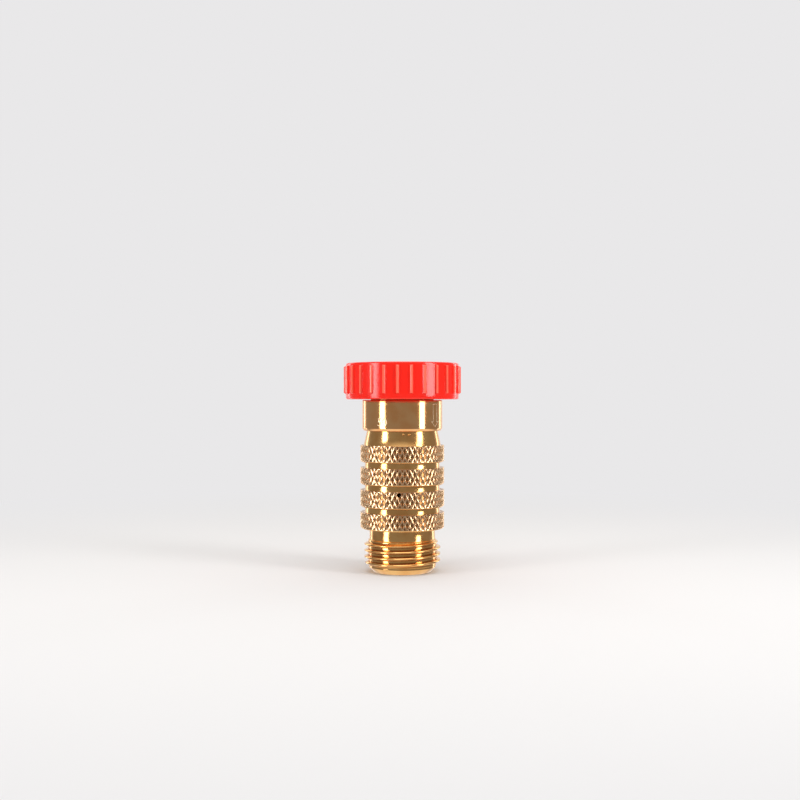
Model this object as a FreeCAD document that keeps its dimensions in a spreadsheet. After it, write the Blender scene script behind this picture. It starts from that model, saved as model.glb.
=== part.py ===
import FreeCAD, Part
import math
import os
import Sketcher

# In-line water pressure regulator for a garden hose line.  The outlet end face lies on Z = 0 and
# the common axis of every turned piece is Z, with the inlet swivel nut at the top.
# Lengths are in millimetres.

DRIVING_SIZES = {
    # hose thread, 3/4-11.5 NH
    "thread_pitch": 2.2087,
    "thread_crest_radius": 13.495,
    "nut_thread_clearance": 0.125,
    # housing
    "pilot_radius": 11.95,
    "pilot_length": 2.4,
    "end_chamfer": 1.75,
    "ledge_width": 2.3,
    "ledge_rise": 2.7,
    "neck_radius": 11.6,
    "neck_length": 4.07,
    "grip_radius": 14.8,
    "grip_length": 29.3,
    "grip_groove_depth": 1.55,
    "grip_groove_width": 1.9,
    "grip_groove_pitch": 7.88,
    "first_groove_rise": 5.7,
    "taper_radius": 13.7,
    "taper_length": 4.8,
    "spigot_wall": 1.8,
    "spigot_length": 6.5,
    "barrel_gap": 0.3,
    "cylinder_radius": 10.8,
    "vent_radius": 0.65,
    "vent_drop": 1.0,
    "vent_turn": 265.4,
    # piston
    "piston_seat_gap": 0.1,
    "piston_head_length": 7.0,
    "running_clearance": 0.05,
    "stem_radius": 4.9,
    "stem_wall": 0.9,
    "stem_rim": 0.3,
    "travel": 2.5,
    "closed_gap": 0.1,
    # seals
    "ring_groove_width": 2.3,
    "ring_groove_depth": 1.55,
    "body_ring_groove_depth": 0.9,
    "seal_clearance": 0.02,
    "seal_offset": 0.93,
    # spring
    "wire_radius": 1.2,
    "coil_pitch": 3.5,
    "spring_washer_thickness": 0.6,
    "spring_washer_clearance": 0.5,
    # guide bush
    "bush_length": 6.2,
    "bush_flange": 1.5,
    # inlet body
    "barrel_wall": 1.55,
    "barrel_length": 10.8,
    "barrel_chamfer": 0.3,
    "fit_clearance": 0.05,
    "inlet_neck_radius": 11.15,
    "inlet_neck_rim": 0.55,
    "inlet_neck_wall": 1.65,
    "inlet_step_width": 1.3,
    "inlet_step_rise": 0.5,
    # retaining ring
    "clip_wire_radius": 0.7,
    "clip_axial_play": 0.2,
    "clip_opening": 14.0,
    # swivel nut
    "nut_gap": 0.2,
    "nut_lip_length": 1.5,
    "nut_lip_clearance": 0.1,
    "nut_recess_clearance": 1.85,
    "nut_wall": 6.3,
    "nut_edge": 0.7,
    "rib_height": 0.75,
    "rib_count": 27.0,
    "rib_base_width": 1.7,
    "rib_tip_width": 0.9,
    "rib_end_gap": 1.4,
    # hose washer and strainer
    "washer_clearance": 0.7,
    "washer_bore_radius": 7.9,
    "washer_thickness": 2.15,
    "screen_overlap": 1.0,
    "screen_thickness": 0.25,
    "screen_rim_width": 2.1,
    "screen_rim_thickness": 0.6,
    "screen_hole_radius": 0.5,
    "screen_hole_pitch": 2.0,
    # seat
    "seat_overlap": 0.5,
    "seat_thickness": 1.6,
    "seat_drop": 0.6,
    "boss_wall": 0.8,
    "boss_length": 2.6,
    "boss_lip": 0.4,
    "holder_ring_length": 1.6,
    "leg_width": 2.0,
    "screw_radius": 1.2,
    "screw_head_radius": 2.2,
    "screw_head_length": 1.2,
    "screw_slot": 0.5,
    "seat_washer_radius": 3.0,
    "seat_washer_thickness": 0.3,
}
THREAD_DEPTH_PER_PITCH = 0.6495
THREAD_FLAT_PER_PITCH = 0.125
THREAD_TURNS_OUTSIDE = 4
THREAD_TURNS_INSIDE = 3
GRIP_GROOVES = 3
HOLDER_LEGS = 3
SCREEN_RINGS = 4
HOLES_ADDED_PER_RING = 6

doc = FreeCAD.newDocument("water_regulator")

# ---------------------------------------------------------------- sheet of sizes
sheet = doc.addObject("Spreadsheet::Sheet", "Sizes")
for row, (alias, value) in enumerate(DRIVING_SIZES.items(), start=1):
    sheet.set(f"A{row}", alias.replace("_", " "))
    sheet.set(f"B{row}", str(value))
    sheet.setAlias(f"B{row}", alias)
doc.recompute()


class Size:
    """A value together with the sheet expression that gives it."""

    def __init__(self, value, text):
        self.value = value
        self.text = text

    def __add__(self, other):
        other = as_size(other)
        return Size(self.value + other.value, f"({self.text} + {other.text})")

    def __sub__(self, other):
        other = as_size(other)
        return Size(self.value - other.value, f"({self.text} - {other.text})")

    def __mul__(self, other):
        other = as_size(other)
        return Size(self.value * other.value, f"({self.text} * {other.text})")

    def __truediv__(self, other):
        other = as_size(other)
        return Size(self.value / other.value, f"({self.text} / {other.text})")


def as_size(number):
    """Leaves a Size as it is and wraps a plain number as one."""
    if isinstance(number, Size):
        return number
    return Size(float(number), repr(number))


def cell(alias):
    """The Size held by one cell of the sheet."""
    return Size(float(getattr(sheet, alias)), f"Sizes.{alias}")


ON_AXIS = Size(0.0, "0")

# ---------------------------------------------------------------- radii worked out from the sheet
thread_root_radius = cell("thread_crest_radius") - cell("thread_pitch") * THREAD_DEPTH_PER_PITCH
nut_minor_radius = thread_root_radius + cell("nut_thread_clearance")
nut_major_radius = cell("thread_crest_radius") + cell("nut_thread_clearance")
outlet_bore_radius = cell("cylinder_radius") - cell("ledge_width")
spigot_radius = cell("cylinder_radius") + cell("spigot_wall")
barrel_bore_radius = spigot_radius + cell("fit_clearance")
barrel_radius = barrel_bore_radius + cell("barrel_wall")
stem_bore_radius = cell("stem_radius") - cell("stem_wall")
head_radius = cell("cylinder_radius") - cell("running_clearance")
bush_bore_radius = cell("stem_radius") + cell("running_clearance")
coil_radius = (cell("stem_radius") + cell("cylinder_radius")) / 2
spring_washer_radius = cell("cylinder_radius") - cell("spring_washer_clearance")
spring_washer_bore = cell("stem_radius") + cell("spring_washer_clearance")
inlet_bore_radius = cell("inlet_neck_radius") - cell("inlet_neck_wall")
inlet_step_radius = inlet_bore_radius - cell("inlet_step_width")
nut_bore_radius = cell("inlet_neck_radius") + cell("nut_lip_clearance")
nut_recess_radius = cell("inlet_neck_radius") + cell("clip_wire_radius") + cell("nut_recess_clearance")
nut_wall_radius = nut_recess_radius + cell("nut_wall")
screen_rim_radius = inlet_bore_radius + cell("screen_overlap") + cell("screen_rim_width")
grip_groove_radius = cell("grip_radius") - cell("grip_groove_depth")
rib_tip_radius = nut_wall_radius + cell("rib_height")
washer_radius = nut_recess_radius - cell("washer_clearance")
screen_radius = inlet_bore_radius + cell("screen_overlap")
seat_radius = cell("stem_radius") + cell("seat_overlap")
disc_pocket_radius = seat_radius + cell("fit_clearance")
boss_radius = seat_radius + cell("boss_wall")

# ---------------------------------------------------------------- heights worked out from the sheet
thread_pitch = cell("thread_pitch")
thread_flat = thread_pitch * THREAD_FLAT_PER_PITCH
flank_rise = (cell("thread_crest_radius") - thread_root_radius) * math.tan(math.radians(30))
root_flat = thread_pitch - flank_rise * 2 - thread_flat
thread_top = cell("pilot_length") + thread_pitch * THREAD_TURNS_OUTSIDE
grip_bottom = thread_top + cell("neck_length")
ledge_height = grip_bottom + cell("ledge_rise")
first_groove_height = grip_bottom + cell("first_groove_rise")
vent_height = first_groove_height + cell("grip_groove_pitch") - cell("vent_drop")
grip_top = grip_bottom + cell("grip_length")
taper_top = grip_top + cell("taper_length")
barrel_bottom = taper_top + cell("barrel_gap")
spigot_top = barrel_bottom + cell("spigot_length")
bush_top = spigot_top + cell("bush_flange")
bush_bottom = spigot_top - cell("bush_length")
barrel_top = barrel_bottom + cell("barrel_length")
inlet_step_height = barrel_top + cell("inlet_step_rise")
nut_bottom = barrel_top + cell("nut_gap")
nut_lip_top = nut_bottom + cell("nut_lip_length")
clip_height = nut_lip_top + cell("clip_axial_play") + cell("clip_wire_radius")
clip_half_groove = cell("clip_wire_radius") + cell("fit_clearance")
neck_top = clip_height + clip_half_groove + cell("inlet_neck_rim")
screen_top = neck_top + cell("screen_thickness")
rim_top = neck_top + cell("screen_rim_thickness")
washer_top = rim_top + cell("washer_thickness")
nut_top = washer_top + thread_pitch * THREAD_TURNS_INSIDE - root_flat
seat_height = inlet_step_height - cell("seat_drop")
seat_top = seat_height + cell("seat_thickness")
boss_bottom = seat_height + cell("boss_lip")
boss_top = boss_bottom + cell("boss_length")
piston_bottom = ledge_height + cell("piston_seat_gap")
head_top = piston_bottom + cell("piston_head_length")
stem_top = seat_height - cell("closed_gap") - cell("travel")
lower_washer_top = head_top + cell("spring_washer_thickness")
upper_washer_bottom = bush_bottom - cell("spring_washer_thickness")


# ---------------------------------------------------------------- ways of making a piece
def origin_plane(body, role):
    """One of a body's own origin planes."""
    for feature in body.Origin.OriginFeatures:
        if feature.Role == role:
            return feature
    raise ValueError(role)


def bind_corner(sketch, line, axis, size):
    """Ties one coordinate of a line's first end to its size in the sheet."""
    if size.value == 0.0:
        axis_line = -2 if axis == "DistanceX" else -1
        sketch.addConstraint(Sketcher.Constraint("PointOnObject", line, 1, axis_line))
        return
    index = sketch.addConstraint(Sketcher.Constraint(axis, -1, 1, line, 1, size.value))
    name = f"{axis}_{line}"
    sketch.renameConstraint(index, name)
    sketch.setExpression(f"Constraints.{name}", size.text)


def draw_outline(sketch, corners):
    """A closed outline of straight lines through (across, up) corners."""
    for index, (across, up) in enumerate(corners):
        next_across, next_up = corners[(index + 1) % len(corners)]
        start = FreeCAD.Vector(across.value, up.value, 0)
        end = FreeCAD.Vector(next_across.value, next_up.value, 0)
        sketch.addGeometry(Part.LineSegment(start, end), False)
    for index in range(len(corners)):
        following = (index + 1) % len(corners)
        sketch.addConstraint(Sketcher.Constraint("Coincident", index, 2, following, 1))
    for index, (across, up) in enumerate(corners):
        bind_corner(sketch, index, "DistanceX", across)
        bind_corner(sketch, index, "DistanceY", up)


def body_sketch(body, name, role):
    """A sketch on one of the body's own origin planes."""
    sketch = body.newObject("Sketcher::SketchObject", name)
    sketch.AttachmentSupport = (origin_plane(body, role), [""])
    sketch.MapMode = "FlatFace"
    return sketch


def turned(name, corners):
    """A lathe-turned body: its (radius, height) outline goes once round Z."""
    body = doc.addObject("PartDesign::Body", name)
    section = body_sketch(body, f"{name}_section", "XZ_Plane")
    draw_outline(section, corners)
    turn = body.newObject("PartDesign::Revolution", f"{name}_turn")
    turn.Profile = section
    turn.ReferenceAxis = (section, ["V_Axis"])
    turn.Angle = 360
    return body


def cylinder(name, radius, bottom, height):
    """An upright cylinder on the common axis."""
    drum = doc.addObject("Part::Cylinder", name)
    drum.setExpression("Radius", radius.text)
    drum.setExpression("Height", height.text)
    drum.setExpression(".Placement.Base.z", bottom.text)
    return drum


def ring(name, middle_radius, section_radius, height):
    """A round-section ring, such as an O-ring, about the common axis."""
    torus = doc.addObject("Part::Torus", name)
    torus.setExpression("Radius1", middle_radius.text)
    torus.setExpression("Radius2", section_radius.text)
    torus.setExpression(".Placement.Base.z", height.text)
    return torus


def cut(name, base, tool):
    """The base with the tool taken out of it."""
    result = doc.addObject("Part::Cut", name)
    result.Base = base
    result.Tool = tool
    result.Refine = False
    return result


def fuse(name, shapes):
    """Several shapes joined into one solid, each keeping its own faces."""
    result = doc.addObject("Part::MultiFuse", name)
    result.Shapes = shapes
    result.Refine = False
    return result


def helical_sweep(name, section, helix_radius, bottom, height, pitch):
    """A solid made by carrying a section along a helix about the common axis."""
    helix = doc.addObject("Part::Helix", f"{name}_helix")
    helix.setExpression("Pitch", pitch.text)
    helix.setExpression("Height", height.text)
    helix.setExpression("Radius", helix_radius.text)
    helix.setExpression(".Placement.Base.z", bottom.text)
    sweep = doc.addObject("Part::Sweep", name)
    sweep.Sections = [section]
    sweep.Spine = (helix, ["Edge1"])
    sweep.Solid = True
    sweep.Frenet = True
    return sweep


def thread_rings(crest_radius, root_radius, bottom, turns):
    """Outline corners of a run of 60 degree thread crests, from the lowest to the highest.
    Each crest is a plain ring of the thread's own section, one pitch from the next."""
    corners = []
    for index in range(turns):
        foot = bottom + thread_pitch * index
        crest = foot + flank_rise
        corners += [
            (root_radius, foot),
            (crest_radius, crest),
            (crest_radius, crest + thread_flat),
            (root_radius, crest + thread_flat + flank_rise),
        ]
    return corners


pieces = {}

# ---------------------------------------------------------------- housing
# One brass turning: pilot, hose thread, neck, grooved grip, taper and spigot.  Inside, the outlet
# bore ends at the ledge where the piston rests, and the vent opens the spring chamber.
groove_corners = []
for index in range(GRIP_GROOVES):
    groove_bottom = first_groove_height + cell("grip_groove_pitch") * index
    groove_top = groove_bottom + cell("grip_groove_width")
    groove_corners += [
        (cell("grip_radius"), groove_bottom),
        (grip_groove_radius, groove_bottom),
        (grip_groove_radius, groove_top),
        (cell("grip_radius"), groove_top),
    ]
body_ring_middle = barrel_bottom + cell("spigot_length") / 2
body_ring_section = (barrel_bore_radius - spigot_radius + cell("body_ring_groove_depth")) / 2
body_ring_half_width = body_ring_section + cell("seal_clearance")
body_ring_floor = spigot_radius - cell("body_ring_groove_depth")
housing_turned = turned("housing_turned", [
    (outlet_bore_radius, ON_AXIS),
    (cell("pilot_radius") - cell("end_chamfer"), ON_AXIS),
    (cell("pilot_radius"), cell("end_chamfer")),
    (cell("pilot_radius"), cell("pilot_length")),
    *thread_rings(cell("thread_crest_radius"), thread_root_radius, cell("pilot_length"),
                  THREAD_TURNS_OUTSIDE),
    (cell("neck_radius"), thread_top - root_flat),
    (cell("neck_radius"), grip_bottom),
    (cell("grip_radius"), grip_bottom),
    *groove_corners,
    (cell("grip_radius"), grip_top),
    (cell("taper_radius"), grip_top),
    (spigot_radius, taper_top),
    (spigot_radius, body_ring_middle - body_ring_half_width),
    (body_ring_floor, body_ring_middle - body_ring_half_width),
    (body_ring_floor, body_ring_middle + body_ring_half_width),
    (spigot_radius, body_ring_middle + body_ring_half_width),
    (spigot_radius, spigot_top),
    (cell("cylinder_radius"), spigot_top),
    (cell("cylinder_radius"), ledge_height),
    (outlet_bore_radius, ledge_height),
])
vent_drill = doc.addObject("Part::Cylinder", "vent_drill")
vent_drill.setExpression("Radius", cell("vent_radius").text)
vent_drill.setExpression("Height", barrel_radius.text + " * 2")
vent_direction = FreeCAD.Rotation(FreeCAD.Vector(0, 0, 1), cell("vent_turn").value)
vent_direction = vent_direction.multiply(FreeCAD.Rotation(FreeCAD.Vector(0, 1, 0), 90))
vent_drill.Placement = FreeCAD.Placement(FreeCAD.Vector(), vent_direction)
vent_drill.setExpression(".Placement.Base.z", vent_height.text)
pieces["housing"] = cut("housing", housing_turned, vent_drill)

# ---------------------------------------------------------------- piston and its seals
# A hollow piston: outlet water under the head lifts it until the stem's rim meets the seat disc.
head_ring_section = cell("ring_groove_depth") / 2 + cell("running_clearance") / 2 - cell("seal_clearance")
head_ring_floor = head_radius - cell("ring_groove_depth")
head_ring_middle = piston_bottom + cell("piston_head_length") / 2
half_ring_groove = cell("ring_groove_width") / 2
pieces["piston"] = turned("piston", [
    (stem_bore_radius, piston_bottom),
    (head_radius, piston_bottom),
    (head_radius, head_ring_middle - half_ring_groove),
    (head_ring_floor, head_ring_middle - half_ring_groove),
    (head_ring_floor, head_ring_middle + half_ring_groove),
    (head_radius, head_ring_middle + half_ring_groove),
    (head_radius, head_top),
    (cell("stem_radius"), head_top),
    (cell("stem_radius"), stem_top - cell("stem_radius") + stem_bore_radius),
    (stem_bore_radius + cell("stem_rim"), stem_top),
    (stem_bore_radius, stem_top),
])
pieces["head_o_ring"] = ring("head_o_ring", head_ring_floor + cell("seal_clearance") + head_ring_section,
                             head_ring_section, head_ring_middle)

# ---------------------------------------------------------------- spring and its washers
pieces["spring_lower_washer"] = turned("spring_lower_washer", [
    (spring_washer_bore, head_top),
    (spring_washer_radius, head_top),
    (spring_washer_radius, lower_washer_top),
    (spring_washer_bore, lower_washer_top),
])
pieces["spring_upper_washer"] = turned("spring_upper_washer", [
    (spring_washer_bore, upper_washer_bottom),
    (spring_washer_radius, upper_washer_bottom),
    (spring_washer_radius, bush_bottom),
    (spring_washer_bore, bush_bottom),
])
spring_length = upper_washer_bottom - lower_washer_top
wire_start = lower_washer_top - cell("coil_pitch") / 2
wire_section = doc.addObject("Part::Circle", "wire_section")
wire_section.setExpression("Radius", cell("wire_radius").text)
wire_section.Placement = FreeCAD.Placement(FreeCAD.Vector(), FreeCAD.Rotation(FreeCAD.Vector(1, 0, 0), 90))
wire_section.setExpression(".Placement.Base.x", coil_radius.text)
wire_section.setExpression(".Placement.Base.z", wire_start.text)
coil = helical_sweep("spring_coil", wire_section, coil_radius, wire_start,
                     spring_length + cell("coil_pitch"), cell("coil_pitch"))
grinding_envelope = cylinder("grinding_envelope", spring_washer_radius, lower_washer_top, spring_length)
spring = doc.addObject("Part::MultiCommon", "spring")
spring.Shapes = [coil, grinding_envelope]
pieces["spring"] = spring

# ---------------------------------------------------------------- guide bush and its seals
bush_radius = cell("cylinder_radius") - cell("fit_clearance")
bush_ring_floor = bush_radius - cell("ring_groove_depth")
bush_ring_section = cell("ring_groove_depth") / 2 + cell("fit_clearance") / 2 - cell("seal_clearance")
bush_ring_middle = bush_bottom + cell("bush_length") / 2 + cell("seal_offset")
stem_ring_floor = bush_bore_radius + cell("ring_groove_depth")
stem_ring_section = cell("ring_groove_depth") / 2
stem_ring_middle = bush_bottom + cell("bush_length") / 2 - cell("seal_offset")
pieces["guide_bush"] = turned("guide_bush", [
    (bush_bore_radius, bush_bottom),
    (bush_radius, bush_bottom),
    (bush_radius, bush_ring_middle - half_ring_groove),
    (bush_ring_floor, bush_ring_middle - half_ring_groove),
    (bush_ring_floor, bush_ring_middle + half_ring_groove),
    (bush_radius, bush_ring_middle + half_ring_groove),
    (bush_radius, spigot_top),
    (spigot_radius, spigot_top),
    (spigot_radius, bush_top),
    (bush_bore_radius, bush_top),
    (bush_bore_radius, stem_ring_middle + half_ring_groove),
    (stem_ring_floor, stem_ring_middle + half_ring_groove),
    (stem_ring_floor, stem_ring_middle - half_ring_groove),
    (bush_bore_radius, stem_ring_middle - half_ring_groove),
])
pieces["bush_o_ring"] = ring("bush_o_ring", bush_ring_floor + cell("seal_clearance") + bush_ring_section,
                             bush_ring_section, bush_ring_middle)
pieces["stem_o_ring"] = ring("stem_o_ring", stem_ring_floor - cell("seal_clearance") - stem_ring_section,
                             stem_ring_section, stem_ring_middle)
body_ring_radius = body_ring_section - cell("seal_clearance")
pieces["body_o_ring"] = ring("body_o_ring", body_ring_floor + body_ring_section, body_ring_radius,
                             body_ring_middle)

# ---------------------------------------------------------------- inlet body
# The smooth barrel goes down over the spigot and clamps the guide bush; its neck carries the nut.
clip_groove_floor = cell("inlet_neck_radius") - clip_half_groove
pieces["inlet_body"] = turned("inlet_body", [
    (barrel_bore_radius, barrel_bottom),
    (barrel_radius - cell("barrel_chamfer"), barrel_bottom),
    (barrel_radius, barrel_bottom + cell("barrel_chamfer")),
    (barrel_radius, barrel_top - cell("barrel_chamfer")),
    (barrel_radius - cell("barrel_chamfer"), barrel_top),
    (cell("inlet_neck_radius"), barrel_top),
    (cell("inlet_neck_radius"), clip_height - clip_half_groove),
    (clip_groove_floor, clip_height - clip_half_groove),
    (clip_groove_floor, clip_height + clip_half_groove),
    (cell("inlet_neck_radius"), clip_height + clip_half_groove),
    (cell("inlet_neck_radius"), neck_top),
    (inlet_bore_radius, neck_top),
    (inlet_bore_radius, inlet_step_height),
    (inlet_step_radius, inlet_step_height),
    (inlet_step_radius, bush_top),
    (barrel_bore_radius, bush_top),
])
clip = ring("nut_retaining_ring", cell("inlet_neck_radius"), cell("clip_wire_radius"), clip_height)
clip.setExpression("Angle3", f"360 - {cell('clip_opening').text}")
pieces["nut_retaining_ring"] = clip

# ---------------------------------------------------------------- swivel nut
inside_thread = thread_rings(nut_minor_radius, nut_major_radius, washer_top, THREAD_TURNS_INSIDE)
swivel_nut = turned("swivel_nut", [
    (nut_bore_radius, nut_bottom),
    (nut_wall_radius - cell("nut_edge"), nut_bottom),
    (nut_wall_radius, nut_bottom + cell("nut_edge")),
    (nut_wall_radius, nut_top - cell("nut_edge")),
    (nut_wall_radius - cell("nut_edge"), nut_top),
    *reversed(inside_thread),
    (nut_recess_radius, washer_top),
    (nut_recess_radius, nut_lip_top),
    (nut_bore_radius, nut_lip_top),
])
rib_section = body_sketch(swivel_nut, "rib_section", "XY_Plane")
rib_root_radius = nut_wall_radius - cell("nut_edge")
draw_outline(rib_section, [
    (cell("rib_base_width") / 2, rib_root_radius),
    (cell("rib_tip_width") / 2, rib_tip_radius),
    (cell("rib_tip_width") / -2, rib_tip_radius),
    (cell("rib_base_width") / -2, rib_root_radius),
])
rib_section.setExpression(".AttachmentOffset.Base.z", (nut_bottom + cell("rib_end_gap")).text)
rib = swivel_nut.newObject("PartDesign::Pad", "rib")
rib.Profile = rib_section
rib.setExpression("Length", (nut_top - nut_bottom - cell("rib_end_gap") * 2).text)
ribs = swivel_nut.newObject("PartDesign::PolarPattern", "ribs")
ribs.Originals = [rib]
ribs.Axis = (rib_section, ["N_Axis"])
ribs.Angle = 360
ribs.setExpression("Occurrences", cell("rib_count").text)
swivel_nut.Tip = ribs
pieces["swivel_nut"] = swivel_nut

# ---------------------------------------------------------------- hose washer
pieces["hose_washer"] = turned("hose_washer", [
    (cell("washer_bore_radius"), rim_top),
    (washer_radius, rim_top),
    (washer_radius, washer_top),
    (cell("washer_bore_radius"), washer_top),
])

# ---------------------------------------------------------------- strainer
pieces["screen_rim"] = turned("screen_rim", [
    (screen_radius + cell("fit_clearance"), neck_top),
    (screen_rim_radius, neck_top),
    (screen_rim_radius, rim_top),
    (inlet_bore_radius, rim_top),
    (inlet_bore_radius, screen_top),
    (screen_radius + cell("fit_clearance"), screen_top),
])
screen = turned("screen_disc", [
    (ON_AXIS, neck_top),
    (screen_radius, neck_top),
    (screen_radius, screen_top),
    (ON_AXIS, screen_top),
])
for index in range(1, SCREEN_RINGS + 1):
    hole = body_sketch(screen, f"screen_hole_{index}", "XY_Plane")
    hole.addGeometry(Part.Circle(FreeCAD.Vector(index, 0, 0), FreeCAD.Vector(0, 0, 1), 1), False)
    hole.addConstraint(Sketcher.Constraint("PointOnObject", 0, 3, -1))
    hole.addConstraint(Sketcher.Constraint("DistanceX", -1, 1, 0, 3, index))
    hole.renameConstraint(1, "reach")
    hole.setExpression("Constraints.reach", (cell("screen_hole_pitch") * index).text)
    hole.addConstraint(Sketcher.Constraint("Radius", 0, 1))
    hole.renameConstraint(2, "size")
    hole.setExpression("Constraints.size", cell("screen_hole_radius").text)
    drilled = screen.newObject("PartDesign::Pocket", f"screen_drilled_{index}")
    drilled.Profile = hole
    drilled.Type = "ThroughAll"
    drilled.Midplane = True
    holes = screen.newObject("PartDesign::PolarPattern", f"screen_holes_{index}")
    holes.Originals = [drilled]
    holes.Axis = (hole, ["N_Axis"])
    holes.Angle = 360
    holes.Occurrences = HOLES_ADDED_PER_RING * index
    screen.Tip = holes
pieces["screen_disc"] = screen

# ---------------------------------------------------------------- seat holder, disc, washer and screw
holder_ring = turned("holder_ring", [
    (inlet_step_radius, inlet_step_height),
    (inlet_bore_radius - cell("fit_clearance"), inlet_step_height),
    (inlet_bore_radius - cell("fit_clearance"), inlet_step_height + cell("holder_ring_length")),
    (inlet_step_radius, inlet_step_height + cell("holder_ring_length")),
])
holder_boss = turned("holder_boss", [
    (disc_pocket_radius, boss_bottom),
    (boss_radius, boss_bottom),
    (boss_radius, boss_top),
    (ON_AXIS, boss_top),
    (ON_AXIS, boss_top - cell("boss_lip")),
    (cell("screw_radius"), boss_top - cell("boss_lip")),
    (cell("screw_radius"), seat_top),
    (disc_pocket_radius, seat_top),
])
legs = []
leg_start = (boss_radius - cell("boss_lip")).value
leg_corner = FreeCAD.Vector(leg_start, cell("leg_width").value / -2, 0)
for index in range(HOLDER_LEGS):
    leg = doc.addObject("Part::Box", f"holder_leg_{index}")
    leg.setExpression("Width", cell("leg_width").text)
    leg.setExpression("Height", cell("holder_ring_length").text)
    leg.setExpression("Length", (inlet_step_radius - boss_radius + cell("boss_lip") * 2).text)
    turn = FreeCAD.Rotation(FreeCAD.Vector(0, 0, 1), 360 / HOLDER_LEGS * index)
    leg.Placement = FreeCAD.Placement(turn.multVec(leg_corner), turn)
    leg.setExpression(".Placement.Base.z", inlet_step_height.text)
    legs.append(leg)
pieces["seat_holder"] = fuse("seat_holder", [holder_ring, holder_boss, *legs])
pieces["seat_disc"] = turned("seat_disc", [
    (cell("screw_radius"), seat_height),
    (seat_radius, seat_height),
    (seat_radius, seat_top),
    (cell("screw_radius"), seat_top),
])
seat_washer_bottom = seat_height - cell("seat_washer_thickness")
pieces["seat_washer"] = turned("seat_washer", [
    (cell("screw_radius"), seat_washer_bottom),
    (cell("seat_washer_radius"), seat_washer_bottom),
    (cell("seat_washer_radius"), seat_height),
    (cell("screw_radius"), seat_height),
])
screw_blank = turned("screw_blank", [
    (ON_AXIS, seat_washer_bottom - cell("screw_head_length")),
    (cell("screw_head_radius"), seat_washer_bottom - cell("screw_head_length")),
    (cell("screw_head_radius"), seat_washer_bottom),
    (cell("screw_radius"), seat_washer_bottom),
    (cell("screw_radius"), boss_top - cell("boss_lip") * 2),
    (ON_AXIS, boss_top - cell("boss_lip") * 2),
])
slot = doc.addObject("Part::Box", "screw_slot")
slot.setExpression("Width", cell("screw_slot").text)
slot.setExpression("Height", cell("screw_slot").text)
slot.setExpression("Length", (cell("screw_head_radius") * 2).text)
slot.setExpression(".Placement.Base.x", (cell("screw_head_radius") * -1).text)
slot.setExpression(".Placement.Base.y", (cell("screw_slot") / -2).text)
slot.setExpression(".Placement.Base.z", (seat_washer_bottom - cell("screw_head_length")).text)
pieces["seat_screw"] = cut("seat_screw", screw_blank, slot)

# ---------------------------------------------------------------- check and write
doc.recompute()
for item in doc.Objects:
    if "Invalid" in item.State or "Error" in item.State:
        raise RuntimeError(f"{item.Name} did not recompute: {item.State}")
os.makedirs("parts", exist_ok=True)
for name, piece in pieces.items():
    piece.Label = name
    if piece.Shape.isNull() or not piece.Shape.isValid():
        raise RuntimeError(f"{name} has no valid shape")
for name, piece in pieces.items():
    piece.Shape.exportStep(f"parts/{name}.step")
    print(name, len(piece.Shape.Solids), round(piece.Shape.Volume, 2))
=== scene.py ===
import bpy
import math
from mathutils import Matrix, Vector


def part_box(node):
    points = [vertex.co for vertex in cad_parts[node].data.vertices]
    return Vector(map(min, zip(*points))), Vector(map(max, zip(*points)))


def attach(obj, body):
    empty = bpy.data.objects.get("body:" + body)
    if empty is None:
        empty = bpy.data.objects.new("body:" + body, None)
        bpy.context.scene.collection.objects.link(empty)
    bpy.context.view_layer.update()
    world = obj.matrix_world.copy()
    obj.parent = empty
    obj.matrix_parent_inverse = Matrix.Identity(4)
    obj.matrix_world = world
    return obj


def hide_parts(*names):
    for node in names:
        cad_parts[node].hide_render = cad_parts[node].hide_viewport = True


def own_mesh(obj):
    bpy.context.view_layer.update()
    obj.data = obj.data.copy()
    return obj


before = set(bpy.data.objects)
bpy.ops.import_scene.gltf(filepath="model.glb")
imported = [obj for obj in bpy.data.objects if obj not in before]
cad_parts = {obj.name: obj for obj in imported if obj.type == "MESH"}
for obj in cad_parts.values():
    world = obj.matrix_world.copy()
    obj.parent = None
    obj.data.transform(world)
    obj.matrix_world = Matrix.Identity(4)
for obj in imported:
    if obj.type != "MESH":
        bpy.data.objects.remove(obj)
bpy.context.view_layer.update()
MM = 0.001

# ---------------------------------------------------------------- camera
# Level with the swivel nut's lower edge and a forearm's length in front of the regulator.
camera_data = bpy.data.cameras.new("camera")
camera_data.sensor_width = 36
camera_data.lens = 49.5
camera = bpy.data.objects.new("camera", camera_data)
camera.location = (-0.8 * MM, -390 * MM, 60.5 * MM)
camera.rotation_euler = (math.radians(90), 0, 0)
bpy.context.scene.collection.objects.link(camera)
bpy.context.scene.camera = camera
bpy.context.scene.view_settings.view_transform = "Standard"

# ---------------------------------------------------------------- room
# A pale studio: a wide white table, pale walls behind and overhead, and a dimmer room in front,
# which is what gives the turned brass its dark middle.


def hex_colour(text):
    """An sRGB hex colour as the linear colour that a shader takes."""
    channels = [int(text[i:i + 2], 16) / 255 for i in (1, 3, 5)]
    linear = [c / 12.92 if c <= 0.04045 else ((c + 0.055) / 1.055) ** 2.4 for c in channels]
    return (*linear, 1.0)


def fill_inputs(tree, node, inputs):
    """Puts plain values on a node's sockets, and links the sockets of other nodes to them."""
    for name, value in inputs.items():
        if isinstance(value, bpy.types.NodeSocket):
            tree.links.new(value, node.inputs[name])
        else:
            node.inputs[name].default_value = value


def add_node(tree, kind, inputs=None, **settings):
    """Adds one node with its settings, values and links."""
    made = tree.nodes.new(kind)
    for name, value in settings.items():
        setattr(made, name, value)
    fill_inputs(tree, made, inputs or {})
    return made


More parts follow.
